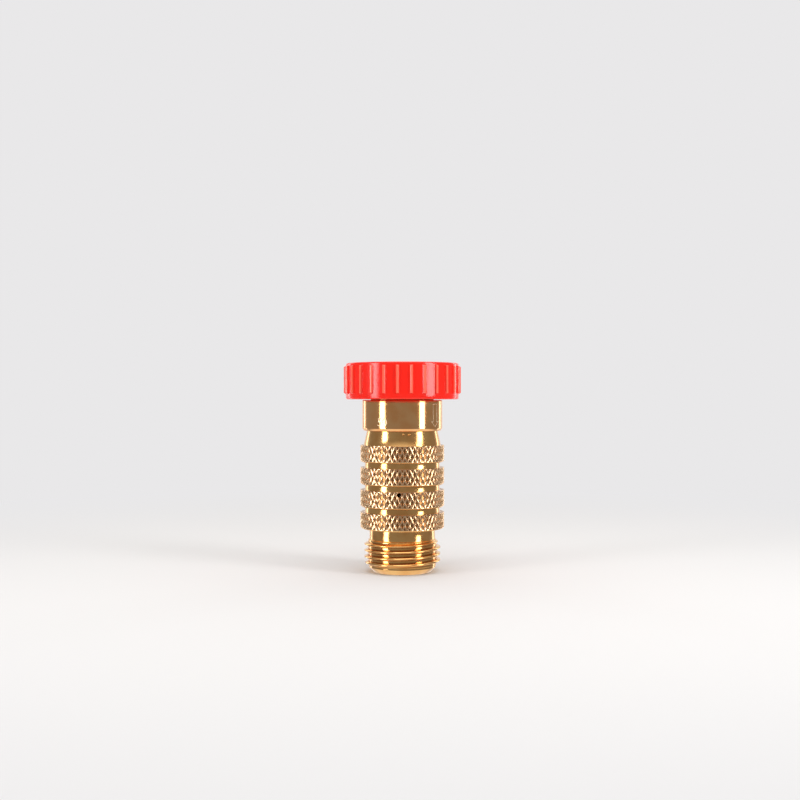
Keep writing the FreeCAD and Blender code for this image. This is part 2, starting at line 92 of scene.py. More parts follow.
world = bpy.data.worlds.new("studio")
bpy.context.scene.world = world
world.use_nodes = True
sky = world.node_tree
sky.nodes.clear()
BACKGROUND_COLOUR = hex_colour("#E9E8E9")
seen = add_node(sky, "ShaderNodeBackground", {"Color": BACKGROUND_COLOUR, "Strength": 1.0})
direction = add_node(sky, "ShaderNodeTexCoord")
parts = add_node(sky, "ShaderNodeSeparateXYZ", {"Vector": direction.outputs["Generated"]})
behind = add_node(sky, "ShaderNodeMapRange", {
    "Value": parts.outputs["Y"], "From Min": 0.5, "From Max": 0.9, "To Min": 0.29, "To Max": 0.95})
above = add_node(sky, "ShaderNodeMapRange", {
    "Value": parts.outputs["Z"], "From Min": 0.5, "From Max": 0.7, "To Min": 0.0, "To Max": 1.0})
below = add_node(sky, "ShaderNodeMapRange", {
    "Value": parts.outputs["Z"], "From Min": -0.4, "From Max": -0.65, "To Min": 0.0, "To Max": 1.0})
upright = add_node(sky, "ShaderNodeMath", {
    0: above.outputs[0], 1: below.outputs[0]}, operation="MAXIMUM")
level = add_node(sky, "ShaderNodeMath", {
    0: behind.outputs[0], 1: upright.outputs[0]}, operation="MAXIMUM")
lit = add_node(sky, "ShaderNodeBackground", {
    "Color": hex_colour("#FFFDFA"), "Strength": level.outputs[0]})
rays = add_node(sky, "ShaderNodeLightPath")
choice = add_node(sky, "ShaderNodeMixShader", {
    0: rays.outputs["Is Camera Ray"], 1: lit.outputs[0], 2: seen.outputs[0]})
add_node(sky, "ShaderNodeOutputWorld", {"Surface": choice.outputs[0]})

# The table lies a hair under the outlet, so that the two faces don't flicker.
TABLE_RADIUS = 6
TABLE_GAP = 0.05
bpy.ops.object.select_all(action="DESELECT")
bpy.ops.mesh.primitive_circle_add(vertices=96, radius=TABLE_RADIUS, fill_type="NGON",
                                  location=(0, 0, -TABLE_GAP * MM))
table = bpy.context.object
table.name = "table"
bpy.ops.object.transform_apply(location=True, rotation=True, scale=True)
# Brass reflects the room and not the table, whose near edge would cut its reflections in two.
table.visible_glossy = False
table_material = bpy.data.materials.new("white_table_laminate")
table_material.use_nodes = True
tree = table_material.node_tree
tree.nodes.clear()
place = add_node(tree, "ShaderNodeTexCoord")
distance = add_node(tree, "ShaderNodeVectorMath", {0: place.outputs["Object"]}, operation="LENGTH")
fade = add_node(tree, "ShaderNodeMapRange", {
    "Value": distance.outputs["Value"], "From Min": 0.08, "From Max": 0.35},
    interpolation_type="SMOOTHSTEP")
paint = add_node(tree, "ShaderNodeBsdfDiffuse", {"Color": hex_colour("#E4E3E3")})
far = add_node(tree, "ShaderNodeEmission", {"Color": BACKGROUND_COLOUR, "Strength": 1.0})
rays = add_node(tree, "ShaderNodeLightPath")
seen_far = add_node(tree, "ShaderNodeMath", {
    0: rays.outputs["Is Camera Ray"], 1: fade.outputs[0]}, operation="MULTIPLY")
blend = add_node(tree, "ShaderNodeMixShader", {
    0: seen_far.outputs[0], 1: paint.outputs[0], 2: far.outputs[0]})
# From underneath the table is clear, so that the outlet can be looked into.
side = add_node(tree, "ShaderNodeNewGeometry")
clear = add_node(tree, "ShaderNodeBsdfTransparent")
two_sided = add_node(tree, "ShaderNodeMixShader", {
    0: side.outputs["Backfacing"], 1: blend.outputs[0], 2: clear.outputs[0]})
add_node(tree, "ShaderNodeOutputMaterial", {"Surface": two_sided.outputs[0]})
table.data.materials.append(table_material)

# Two tall strip lights stand to the left and right in front of the object, two narrow ones
# behind it draw its edges, and one soft light hangs above. Each looks at the object's middle.
LIGHT_MIDDLE = 36 * MM


def add_light(name, turn, rise, reach, width, tall, power):
    """A rectangular lamp that looks at the object from that bearing off the camera's side."""
    lamp = bpy.data.lights.new(name, "AREA")
    lamp.shape = "RECTANGLE"
    lamp.size = width
    lamp.size_y = tall
    lamp.energy = power
    holder = bpy.data.objects.new(name, lamp)
    turn, rise = math.radians(turn), math.radians(rise)
    flat = reach * math.cos(rise)
    height = LIGHT_MIDDLE + reach * math.sin(rise)
    holder.location = (flat * math.sin(turn), -flat * math.cos(turn), height)
    holder.rotation_euler = (math.pi / 2 - rise, 0, turn)
    holder.visible_camera = False
    bpy.context.scene.collection.objects.link(holder)


add_light("strip_left", turn=-58, rise=4, reach=0.5, width=0.14, tall=0.5, power=1.4)
add_light("strip_right", turn=58, rise=16, reach=0.5, width=0.14, tall=0.5, power=1.4)
add_light("edge_left", turn=-136, rise=4, reach=0.5, width=0.06, tall=0.5, power=0.25)
add_light("edge_right", turn=136, rise=4, reach=0.5, width=0.06, tall=0.5, power=0.25)
add_light("overhead", turn=0, rise=70, reach=0.7, width=0.5, tall=0.5, power=1.0)

# ---------------------------------------------------------------- housing
# The regulator's body, turned from brass bar: pilot, hose thread, neck, four knurled grip
# bands with turned grooves between, taper and spigot, bored from both ends.
PITCH = 2.2087
CREST_RADIUS = 13.495
ROOT_RADIUS = 12.06
ROOT_SHOULDER = 0.06
PILOT_RADIUS = 11.95
PILOT_LENGTH = 2.4
END_CHAMFER = 1.75
THREAD_END = PILOT_LENGTH + PITCH * 4
NECK_RADIUS = 11.6
NECK_RUN_OUT = 0.3
NECK_CORNER = 0.35
GRIP_RADIUS = 14.8
GRIP_BOTTOM = 15.305
BAND_HEIGHTS = (5.7, 5.98, 5.98, 5.94)
BAND_CHAMFER = 0.4
BAND_CORE_RADIUS = 14.08
RIDGE_STAND = 0.04
CORE_DROP = 0.03
GROOVE_WIDTH = 1.9
GROOVE_RADIUS = 13.25
OUTLET_BORE = 8.5
OUTLET_CHAMFER = 0.4
CYLINDER_RADIUS = 10.8
LEDGE_HEIGHT = 18.005
TAPER_RADIUS = 13.7
TAPER_TOP = 49.405
SPIGOT_RADIUS = 12.6
SPIGOT_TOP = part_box("housing")[1][2] / MM
PUNCH_HEIGHT = 48.65


def lathe(name, outline, steps=192):
    """A turned piece in millimetres: a ring at the outline's first corner is extruded through the
    others and back to the first."""
    bpy.ops.object.select_all(action="DESELECT")
    radius, height = outline[0]
    bpy.ops.mesh.primitive_circle_add(vertices=steps, radius=radius * MM)
    piece = bpy.context.object
    piece.name = name
    bpy.ops.object.mode_set(mode="EDIT")
    bpy.ops.mesh.select_all(action="SELECT")
    bpy.ops.transform.translate(value=(0, 0, height * MM))
    for next_radius, next_height in outline[1:] + outline[:1]:
        step = (0, 0, (next_height - height) * MM)
        bpy.ops.mesh.extrude_region_move(TRANSFORM_OT_translate={"value": step})
        scale = next_radius / radius
        bpy.ops.transform.resize(value=(scale, scale, 1), center_override=(0, 0, next_height * MM))
        radius, height = next_radius, next_height
    bpy.ops.mesh.select_all(action="SELECT")
    bpy.ops.mesh.remove_doubles(threshold=0.002 * MM)
    bpy.ops.mesh.normals_make_consistent(inside=False)
    bpy.ops.object.mode_set(mode="OBJECT")
    return piece


def round_edges(piece, width, parts=2, angle=28):
    """Bevels every edge sharper than the angle by a width in millimetres, then shades it smooth."""
    bpy.ops.object.select_all(action="DESELECT")
    piece.select_set(True)
    bpy.context.view_layer.objects.active = piece
    edge = piece.modifiers.new("edge", "BEVEL")
    edge.width = width * MM
    edge.segments = parts
    edge.limit_method = "ANGLE"
    edge.angle_limit = math.radians(angle)
    bpy.ops.object.modifier_apply(modifier="edge")
    bpy.ops.object.shade_smooth_by_angle(angle=math.radians(angle))


band_edges = []
bottom = GRIP_BOTTOM
for band_height in BAND_HEIGHTS:
    band_edges.append((bottom, bottom + band_height))
    bottom += band_height + GROOVE_WIDTH
GRIP_TOP = band_edges[-1][1]


def taper_radius(height):
    """How far out the taper above the grip is at a height."""
    along = (height - GRIP_TOP) / (TAPER_TOP - GRIP_TOP)
    return TAPER_RADIUS + along * (SPIGOT_RADIUS - TAPER_RADIUS)


core_outline = [
    (OUTLET_BORE + OUTLET_CHAMFER, 0),
    (PILOT_RADIUS - END_CHAMFER, 0),
    (PILOT_RADIUS, END_CHAMFER),
    (PILOT_RADIUS, PILOT_LENGTH),
    (ROOT_RADIUS, PILOT_LENGTH + ROOT_SHOULDER),
    (ROOT_RADIUS, THREAD_END),
    (NECK_RADIUS, THREAD_END + NECK_RUN_OUT),
    (NECK_RADIUS, GRIP_BOTTOM - NECK_CORNER),
    (NECK_RADIUS + NECK_CORNER, GRIP_BOTTOM),
]
# Each band is chamfered below and square above. In between, its core is drawn thinner, and the
# knurled ring round it stands a hair out from the chamfer and over the core's top.
for bottom, top in band_edges:
    core_outline += [
        (GRIP_RADIUS - BAND_CHAMFER, bottom),
        (GRIP_RADIUS - RIDGE_STAND, bottom + BAND_CHAMFER),
        (BAND_CORE_RADIUS, bottom + BAND_CHAMFER),
        (BAND_CORE_RADIUS, top - CORE_DROP),
    ]
    if top < GRIP_TOP:
        core_outline += [(GROOVE_RADIUS, top), (GROOVE_RADIUS, top + GROOVE_WIDTH)]
# Two rings on the taper keep the punch marks' long facets away from the rest of it.
PUNCH_MARGIN = 0.6
core_outline += [(taper_radius(height), height) for height in (
    GRIP_TOP, PUNCH_HEIGHT - PUNCH_MARGIN, PUNCH_HEIGHT + PUNCH_MARGIN, TAPER_TOP)]
core_outline += [
    (SPIGOT_RADIUS, SPIGOT_TOP),
    (CYLINDER_RADIUS, SPIGOT_TOP),
    (CYLINDER_RADIUS, LEDGE_HEIGHT),
    (OUTLET_BORE, LEDGE_HEIGHT),
    (OUTLET_BORE, OUTLET_CHAMFER),
]
housing = lathe("housing_brass", core_outline)
round_edges(housing, 0.06)

# The diamond knurl is rolled between two crossed wheels, so its ridges run about 24 degrees off
# the axis, and it runs out through each band's upper edge. Each band is a strip of cells poked
# into diamonds, which are then sunk in two steps and leave sloping ridges between them.
DIAMONDS_ROUND = 56
DIAMOND_ROWS = 1.5
# How far in and how deep each step goes.
PIT_STEPS = ((0.25, 0.09), (0.12, 0.24))
KNURL_WALL = 1.2


def knurl_band(name, bottom, top):
    """One closed knurled ring, from the chamfer over the band's bottom to its top."""
    bottom += BAND_CHAMFER
    diamond_height = (top - bottom) / DIAMOND_ROWS
    near = 0.1 * MM
    bpy.ops.object.select_all(action="DESELECT")
    bpy.ops.mesh.primitive_circle_add(vertices=DIAMONDS_ROUND, radius=GRIP_RADIUS * MM)
    band = bpy.context.object
    band.name = name
    bpy.ops.object.mode_set(mode="EDIT")
    bpy.ops.mesh.select_mode(type="VERT")
    bpy.ops.mesh.select_all(action="SELECT")
    bpy.ops.transform.translate(value=(0, 0, bottom * MM))
    step = (0, 0, diamond_height * MM)
    for _ in range(math.ceil(DIAMOND_ROWS)):
        bpy.ops.mesh.extrude_region_move(TRANSFORM_OT_translate={"value": step})
    bpy.ops.mesh.select_all(action="SELECT")
    bpy.ops.mesh.poke()
    bpy.ops.object.mode_set(mode="OBJECT")
    for vertex in band.data.vertices:
        reach = math.hypot(vertex.co.x, vertex.co.y)
        vertex.co.x *= GRIP_RADIUS * MM / reach
        vertex.co.y *= GRIP_RADIUS * MM / reach
        vertex.select = False
    for edge in band.data.edges:
        a, b = (band.data.vertices[i].co for i in edge.vertices)
        level = abs(a.z - b.z) < near
        upright = abs(abs(a.z - b.z) - diamond_height * MM) < near
        edge.select = level or upright
    for polygon in band.data.polygons:
        polygon.select = False
    bpy.ops.object.mode_set(mode="EDIT")
    bpy.ops.mesh.select_mode(type="EDGE")
    bpy.ops.mesh.dissolve_edges(use_verts=False)
    bpy.ops.mesh.select_all(action="SELECT")
    bpy.ops.mesh.bisect(plane_co=(0, 0, top * MM), plane_no=(0, 0, 1), clear_outer=True)
    bpy.ops.mesh.select_mode(type="FACE")
    bpy.ops.mesh.select_all(action="SELECT")
    bpy.ops.mesh.normals_make_consistent(inside=False)
    for width, sink in PIT_STEPS:
        bpy.ops.mesh.inset(thickness=width * MM, depth=-sink * MM, use_individual=True,
                           use_even_offset=True)
    bpy.ops.mesh.select_mode(type="EDGE")
    bpy.ops.mesh.select_all(action="DESELECT")
    bpy.ops.mesh.select_non_manifold(extend=False, use_wire=False, use_boundary=True,
                                     use_multi_face=False, use_non_contiguous=False, use_verts=False)
    bpy.ops.mesh.extrude_region_move()
    inner = (GRIP_RADIUS - KNURL_WALL) / GRIP_RADIUS
    bpy.ops.transform.resize(value=(inner, inner, 1), center_override=(0, 0, 0))
    bpy.ops.mesh.bridge_edge_loops()
    # The wall behind the knurl has skew faces, so they are always split along the same diagonals.
    bpy.ops.mesh.quads_convert_to_tris(quad_method="SHORTEST_DIAGONAL")
    bpy.ops.mesh.select_all(action="SELECT")
    bpy.ops.mesh.normals_make_consistent(inside=False)
    bpy.ops.object.mode_set(mode="OBJECT")
    bpy.ops.object.shade_smooth_by_angle(angle=math.radians(35))
    return band


knurls = [knurl_band(f"knurl_band_{index}", *edges) for index, edges in enumerate(band_edges)]

# The outlet's right-hand hose thread: one crest wound up the root cylinder, whose ends run
# out where the turning tool's chamfers meet it.
THREAD_ROOT_FLAT = 0.276
THREAD_FOOT = 0.25
THREAD_STEPS = 96


def thread_ridge(name, root, crest, start, turns, cone_foot, rise, fall):
    """A helical 60 degree crest in millimetres, on a foot sunk in the root's wall. Its ends are
    turned down to two cones: rise and fall give each cone's slope, after the height at which it
    is cone_foot deep in that wall."""
    side = 1 if crest > root else -1
    flank = abs(crest - root) * math.tan(math.radians(30))
    half_foot = (PITCH - THREAD_ROOT_FLAT) / 2
    half_crest = half_foot - flank
    foot = root - side * THREAD_FOOT
    bpy.ops.object.select_all(action="DESELECT")
    bpy.ops.mesh.primitive_plane_add(size=1)
    ridge = bpy.context.object
    ridge.name = name
    corners = [(foot, -half_foot), (foot, half_foot), (crest, half_crest), (crest, -half_crest)]
    loop = ridge.data.polygons[0].vertices
    for index, (radius, height) in zip(loop, corners):
        ridge.data.vertices[index].co = (radius * MM, 0, (start + half_foot + height) * MM)
    bpy.ops.object.mode_set(mode="EDIT")
    bpy.ops.mesh.select_all(action="SELECT")
    bpy.ops.mesh.delete(type="ONLY_FACE")
    bpy.ops.object.mode_set(mode="OBJECT")
    winding = ridge.modifiers.new("winding", "SCREW")
    winding.axis = "Z"
    winding.angle = math.radians(360 * turns)
    winding.screw_offset = PITCH * turns * MM
    winding.steps = winding.render_steps = int(THREAD_STEPS * turns)
    winding.use_normal_calculate = True
    bpy.ops.object.modifier_apply(modifier="winding")
    bpy.ops.object.mode_set(mode="EDIT")
    bpy.ops.mesh.select_mode(type="EDGE")
    bpy.ops.mesh.select_all(action="DESELECT")
    bpy.ops.mesh.select_non_manifold(extend=False, use_wire=False, use_boundary=True,
                                     use_multi_face=False, use_non_contiguous=False, use_verts=False)
    bpy.ops.mesh.edge_face_add()
    bpy.ops.mesh.select_all(action="SELECT")
    bpy.ops.mesh.normals_make_consistent(inside=False)
    bpy.ops.object.mode_set(mode="OBJECT")
    for vertex in ridge.data.vertices:
        reach, height = math.hypot(vertex.co.x, vertex.co.y) / MM, vertex.co.z / MM
        stand = min((height - rise[0]) * rise[1], (fall[0] - height) * fall[1]) - cone_foot
        if (reach - root) * side > stand:
            vertex.co.x *= (root + side * stand) / reach
            vertex.co.y *= (root + side * stand) / reach
    return ridge


THREAD_TURNS = 4.5
THREAD_LEAD = 1.4
THREAD_CONE_FOOT = 0.2
RUN_IN_SLOPE = 1.73
RUN_OUT_SLOPE = 1.4
outlet_thread = thread_ridge(
    "outlet_thread", ROOT_RADIUS, CREST_RADIUS, PILOT_LENGTH - THREAD_LEAD, THREAD_TURNS,
    THREAD_CONE_FOOT, rise=(PILOT_LENGTH, RUN_IN_SLOPE), fall=(THREAD_END, RUN_OUT_SLOPE))

# A drill of 1.3 mm opens the vent through the second knurled band into the spring chamber, and
# a countersink breaks its edge.
VENT_RADIUS = 0.65
VENT_HEIGHT = 27.885
VENT_TURN = math.radians(265.4)
VENT_DRILL_REACH = 13
VENT_DRILL_LENGTH = 8
SINK_TIP_RADIUS = 0.4
SINK_MOUTH_RADIUS = 1.2
SINK_DEPTH = 0.8
SINK_REACH = 14.55


def vent_tool(tip_radius, mouth_radius, length, reach):
    """A drill or countersink that points at the axis, its middle that far from it."""
    bpy.ops.object.select_all(action="DESELECT")
    bpy.ops.mesh.primitive_cone_add(
        vertices=32, radius1=tip_radius * MM, radius2=mouth_radius * MM, depth=length * MM,
        rotation=(0, math.pi / 2, VENT_TURN),
        location=(reach * math.cos(VENT_TURN) * MM, reach * math.sin(VENT_TURN) * MM, VENT_HEIGHT * MM))
    return bpy.context.object


drill = vent_tool(VENT_RADIUS, VENT_RADIUS, VENT_DRILL_LENGTH, VENT_DRILL_REACH)
countersink = vent_tool(SINK_TIP_RADIUS, SINK_MOUTH_RADIUS, SINK_DEPTH, SINK_REACH)


def carve(piece, tool):
    """Takes a tool's shape out of a piece for good."""
    bpy.ops.object.select_all(action="DESELECT")
    piece.select_set(True)
    bpy.context.view_layer.objects.active = piece
    cutting = piece.modifiers.new("cutting", "BOOLEAN")
    cutting.operation = "DIFFERENCE"
    cutting.object = tool
    cutting.solver = "EXACT"
    bpy.ops.object.modifier_apply(modifier="cutting")
    bpy.ops.object.shade_smooth_by_angle(angle=math.radians(35))


for piece in (housing, knurls[1]):
    carve(piece, drill)
    carve(piece, countersink)
bpy.data.objects.remove(drill)
bpy.data.objects.remove(countersink)

# Two small punch marks near the taper's top lock the barrel on after it is pressed home.
PUNCH_RADIUS = 0.45
PUNCH_REACH = 13.05
PUNCH_PLACES = (0.35, 2.4)
for across in PUNCH_PLACES:
    front = -math.sqrt(PUNCH_REACH ** 2 - across ** 2)
    bpy.ops.object.select_all(action="DESELECT")
    bpy.ops.mesh.primitive_uv_sphere_add(segments=24, ring_count=12, radius=PUNCH_RADIUS * MM,
                                         location=(across * MM, front * MM, PUNCH_HEIGHT * MM))
    punch = bpy.context.object
    carve(housing, punch)
    bpy.data.objects.remove(punch)


def new_material(name):
    """A material that is still plain, with its node tree and its shader."""
    made = bpy.data.materials.new(name)
    made.use_nodes = True
    return made, made.node_tree, made.node_tree.nodes["Principled BSDF"]


def axis_distance(tree, place):
    """How far a point of the surface is from the object's own axis, as a socket."""
    flat = add_node(tree, "ShaderNodeVectorMath", {
        0: place.outputs["Object"], 1: (1, 1, 0)}, operation="MULTIPLY")
    length = add_node(tree, "ShaderNodeVectorMath", {0: flat.outputs[0]}, operation="LENGTH")
    return length.outputs["Value"]


def turned_brass(name, pale, deep, roughness, mark_depth):
    """Lathe-turned brass. The feed of the tool leaves fine rings round the axis, and handling
    leaves faint brown patches."""
    made, tree, shader = new_material(name)
    place = add_node(tree, "ShaderNodeTexCoord")
    height = add_node(tree, "ShaderNodeSeparateXYZ", {"Vector": place.outputs["Object"]})
    lathe_place = add_node(tree, "ShaderNodeCombineXYZ", {
        "X": axis_distance(tree, place), "Z": height.outputs["Z"]})
    # The real feed is about 0.1 mm; the rings are drawn 0.35 mm apart so that they show.
    rings = add_node(tree, "ShaderNodeTexNoise", {
        "Vector": lathe_place.outputs[0], "Scale": 1 / (0.35 * MM), "Detail": 3.0})
    patches = add_node(tree, "ShaderNodeTexNoise", {
        "Vector": place.outputs["Object"], "Scale": 1 / (5 * MM), "Detail": 4.0})
    patch_edge = add_node(tree, "ShaderNodeMapRange", {
        "Value": patches.outputs["Fac"], "From Min": 0.38, "From Max": 0.66})
    # A mix of colours takes them on sockets 6 and 7 and gives its own on socket 2.
    colour = add_node(tree, "ShaderNodeMix", {
        0: patch_edge.outputs[0], 6: hex_colour(pale), 7: hex_colour(deep)}, data_type="RGBA")
    gloss = add_node(tree, "ShaderNodeMapRange", {
        "Value": rings.outputs["Fac"], "From Min": 0.3, "From Max": 0.7,
        "To Min": roughness * 0.75, "To Max": roughness * 1.25})
    grain = add_node(tree, "ShaderNodeBump", {
        "Height": rings.outputs["Fac"], "Strength": 1.0, "Distance": mark_depth * MM})
    fill_inputs(tree, shader, {
        "Metallic": 1.0, "Base Color": colour.outputs[2], "Roughness": gloss.outputs[0],
        "Normal": grain.outputs["Normal"]})
    return made


# Painted shade: a brown tint starts at the first of these depths under the ridges and is whole at the
# second.
PIT_SHADE_START = 0.12
PIT_SHADE_WHOLE = 0.3


def paint_shade_in_pits(material, colour):
    """Paints shade into a material: tints it brown where its surface lies under the knurl's ridges."""
    tree = material.node_tree
    base = tree.nodes["Principled BSDF"].inputs["Base Color"]
    unshaded_colour = base.links[0].from_socket
    place = add_node(tree, "ShaderNodeTexCoord")
    pit = add_node(tree, "ShaderNodeMapRange", {
        "Value": axis_distance(tree, place), "From Min": (GRIP_RADIUS - PIT_SHADE_START) * MM,
        "From Max": (GRIP_RADIUS - PIT_SHADE_WHOLE) * MM})
    tinted = add_node(tree, "ShaderNodeMix", {
        0: pit.outputs[0], 6: unshaded_colour, 7: hex_colour(colour)}, data_type="RGBA")
    tree.links.new(tinted.outputs[2], base)


def coat(piece, material):
    """Gives a piece one material all over."""
    piece.data.materials.clear()
    piece.data.materials.append(material)


# Bar brass, turned and left bare: warm, mirror-like along the cuts, a little soft across them.
satin_brass = turned_brass("turned_brass", "#F0BC79", "#E4A662", 0.14, 0.001)
# The knurled ridges are rolled after turning and carry no tool rings. The pits between them
# get painted shade, a brown tint that darkens them.
# Painted highlight: the knurl's brass is drawn paler than the turned brass, for the whiter light its
# ridges throw back.
rolled_brass = turned_brass("rolled_brass", "#F2CBA0", "#E8BC90", 0.25, 0.0002)
paint_shade_in_pits(rolled_brass, "#A87648")
for piece in (housing, outlet_thread, *knurls):
    coat(piece, rolled_brass if piece in knurls else satin_brass)
    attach(piece, "regulator")
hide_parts("housing")

# ---------------------------------------------------------------- piston
# A hollow brass piston with a rubber ring round its head. Outlet pressure under the head
# lifts it, and the sharp rim of its stem then closes on the seat disc.
coat(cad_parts["piston"], satin_brass)


def moulded_rubber(name, colour, roughness, grain_size):
    """Moulded rubber: near black, dull, with a fine pebble from the mould."""
    made, tree, shader = new_material(name)
    place = add_node(tree, "ShaderNodeTexCoord")
    pebble = add_node(tree, "ShaderNodeTexNoise", {
        "Vector": place.outputs["Object"], "Scale": 1 / (grain_size * MM), "Detail": 3.0})
    bloom = add_node(tree, "ShaderNodeTexNoise", {
        "Vector": place.outputs["Object"], "Scale": 1 / (4 * MM), "Detail": 2.0})
    shade = add_node(tree, "ShaderNodeMix", {
        0: bloom.outputs["Fac"], 6: hex_colour(colour), 7: hex_colour("#3A3A3B")}, data_type="RGBA")
    dullness = add_node(tree, "ShaderNodeMapRange", {
        "Value": pebble.outputs["Fac"], "To Min": roughness - 0.1, "To Max": roughness + 0.1})
    skin = add_node(tree, "ShaderNodeBump", {
        "Height": pebble.outputs["Fac"], "Strength": 1.0, "Distance": 0.01 * MM})
    fill_inputs(tree, shader, {
        "IOR": 1.52, "Base Color": shade.outputs[2], "Roughness": dullness.outputs[0],
        "Normal": skin.outputs["Normal"]})
    return made


nitrile = moulded_rubber("moulded_nitrile_rubber", "#1D1D1E", 0.45, 0.4)
coat(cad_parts["head_o_ring"], nitrile)

# ---------------------------------------------------------------- spring and its washers
# A compression spring of round steel wire, wound cold with both ends closed and ground flat.
# It pushes the piston off the seat, between two thin stainless washers.
WIRE_RADIUS = 1.2
COIL_RADIUS = 7.85
COIL_PITCH = 3.5
STEPS_PER_TURN = 72
SPRING_LOW, SPRING_HIGH = (corner[2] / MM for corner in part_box("spring"))
bpy.ops.object.select_all(action="DESELECT")
bpy.ops.mesh.primitive_circle_add(vertices=20, radius=WIRE_RADIUS * MM, rotation=(math.pi / 2, 0, 0),
                                  location=(COIL_RADIUS * MM, 0, (SPRING_LOW - WIRE_RADIUS) * MM))
spring = bpy.context.object
spring.name = "spring_coil"
bpy.ops.object.transform_apply(location=True, rotation=True, scale=True)
turns = (SPRING_HIGH - SPRING_LOW + 2 * WIRE_RADIUS) / COIL_PITCH
winding = spring.modifiers.new("winding", "SCREW")
winding.axis = "Z"
winding.angle = math.radians(360 * turns)
winding.screw_offset = COIL_PITCH * turns * MM
winding.steps = winding.render_steps = int(STEPS_PER_TURN * turns)
winding.use_normal_calculate = True
bpy.ops.object.modifier_apply(modifier="winding")
bpy.ops.object.mode_set(mode="EDIT")
for height, clear_up in ((SPRING_HIGH, True), (SPRING_LOW, False)):
    bpy.ops.mesh.select_all(action="SELECT")
    bpy.ops.mesh.bisect(plane_co=(0, 0, height * MM), plane_no=(0, 0, 1), use_fill=True,
                        clear_outer=clear_up, clear_inner=not clear_up)
bpy.ops.mesh.select_all(action="SELECT")
bpy.ops.mesh.normals_make_consistent(inside=False)
bpy.ops.object.mode_set(mode="OBJECT")
bpy.ops.object.shade_smooth_by_angle(angle=math.radians(40))


def drawn_steel(name, colour, roughness, line_size):
    """Drawn or rolled steel: cool grey, with fine streaks from the die or the rolls."""
    made, tree, shader = new_material(name)
    place = add_node(tree, "ShaderNodeTexCoord")
    stretch = add_node(tree, "ShaderNodeMapping", {
        "Vector": place.outputs["Object"], "Scale": (0.2, 0.2, 1.0)})
    streaks = add_node(tree, "ShaderNodeTexNoise", {
        "Vector": stretch.outputs[0], "Scale": 1 / (line_size * MM), "Detail": 3.0})
    shade = add_node(tree, "ShaderNodeMix", {
        0: streaks.outputs["Fac"], 6: hex_colour(colour), 7: hex_colour("#8F8F90")}, data_type="RGBA")
    gloss = add_node(tree, "ShaderNodeMapRange", {
        "Value": streaks.outputs["Fac"], "To Min": roughness - 0.08, "To Max": roughness + 0.08})
    grain = add_node(tree, "ShaderNodeBump", {
        "Height": streaks.outputs["Fac"], "Strength": 1.0, "Distance": 0.003 * MM})
    fill_inputs(tree, shader, {
        "Metallic": 1.0, "Base Color": shade.outputs[2], "Roughness": gloss.outputs[0],
        "Normal": grain.outputs["Normal"]})
    return made


spring_wire = drawn_steel("drawn_spring_steel", "#B9B9BB", 0.3, 0.3)
stainless = drawn_steel("rolled_stainless_steel", "#D6D5D2", 0.28, 0.25)
coat(spring, spring_wire)
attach(spring, "regulator")
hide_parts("spring")
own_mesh(spring)
for node in ("spring_lower_washer", "spring_upper_washer"):
    coat(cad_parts[node], stainless)

# ---------------------------------------------------------------- guide bush and its seals
# An acetal bush, turned from rod and pressed into the spigot, guides the stem. Rubber rings
# seal it to the stem and the housing, and one more seals the spigot to the barrel.


def turned_plastic(name, colour):
    """Plastic turned from rod: off-white and waxy, with faint rings from the tool."""
    made, tree, shader = new_material(name)
    place = add_node(tree, "ShaderNodeTexCoord")
    rings = add_node(tree, "ShaderNodeTexWave", {
        "Vector": place.outputs["Object"], "Scale": 1 / (2 * MM), "Distortion": 0.5},
        wave_type="RINGS", rings_direction="Z")
    shade = add_node(tree, "ShaderNodeMix", {
        0: rings.outputs["Fac"], 6: hex_colour(colour), 7: hex_colour("#DAD7CC")}, data_type="RGBA")
    grain = add_node(tree, "ShaderNodeBump", {
        "Height": rings.outputs["Fac"], "Strength": 1.0, "Distance": 0.004 * MM})
    fill_inputs(tree, shader, {
        "IOR": 1.48, "Roughness": 0.42, "Base Color": shade.outputs[2],
        "Normal": grain.outputs["Normal"]})
    return made


coat(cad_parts["guide_bush"], turned_plastic("turned_acetal", "#E8E6DD"))
for node in ("bush_o_ring", "stem_o_ring", "body_o_ring"):
    coat(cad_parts[node], nitrile)

# ---------------------------------------------------------------- seat
# A brass spider stands on the inlet's inner step. Its cup holds a rubber disc, kept there by
# a stainless washer and a slotted screw, and water passes between its three legs.
for node in ("seat_holder", "seat_screw"):
    coat(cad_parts[node], satin_brass)
coat(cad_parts["seat_disc"], nitrile)
coat(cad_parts["seat_washer"], stainless)

